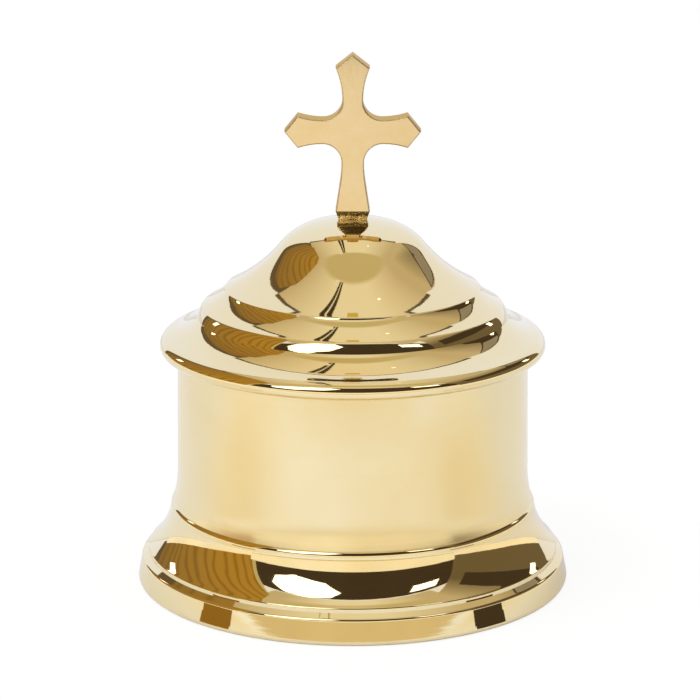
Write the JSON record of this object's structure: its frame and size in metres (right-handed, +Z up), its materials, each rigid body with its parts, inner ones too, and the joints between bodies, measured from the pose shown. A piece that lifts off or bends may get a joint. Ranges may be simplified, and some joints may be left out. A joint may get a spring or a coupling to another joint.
{
  "type": "covered pyx",
  "caption": "Round covered pyx for altar breads: a plain gilt drum on a flared foot, closed by a stepped domed lid that lifts off by the flat cross on its crown.",
  "frame": {"origin": "centre of the ring that the foot stands on", "axes": "+Z up along the axis of the drum, -Y towards the broad front face of the cross, +X along its right arm"},
  "size_m": [0.0952, 0.0952, 0.1172],
  "materials": {
    "polished_gilt": "polished, gilt",
    "satin_gilt": "fine satin, gilt",
    "plain_brass": "plain turned"
  },
  "bodies": {
    "base": {"drum": "polished_gilt", "foot": "polished_gilt", "drum_stud": "plain_brass", "foot_washer": "plain_brass", "foot_nut": "plain_brass"},
    "lid": {"lid_shell": "polished_gilt", "lid_bezel": "polished_gilt", "cross_finial": "satin_gilt", "finial_screw": "plain_brass", "finial_washer": "plain_brass"}
  },
  "joints": [
    {"name": "lid_lift", "type": "slide", "parent": "base", "child": "lid", "axis": [0, 0, 1], "range_m": [0, 0.08]}
  ]
}
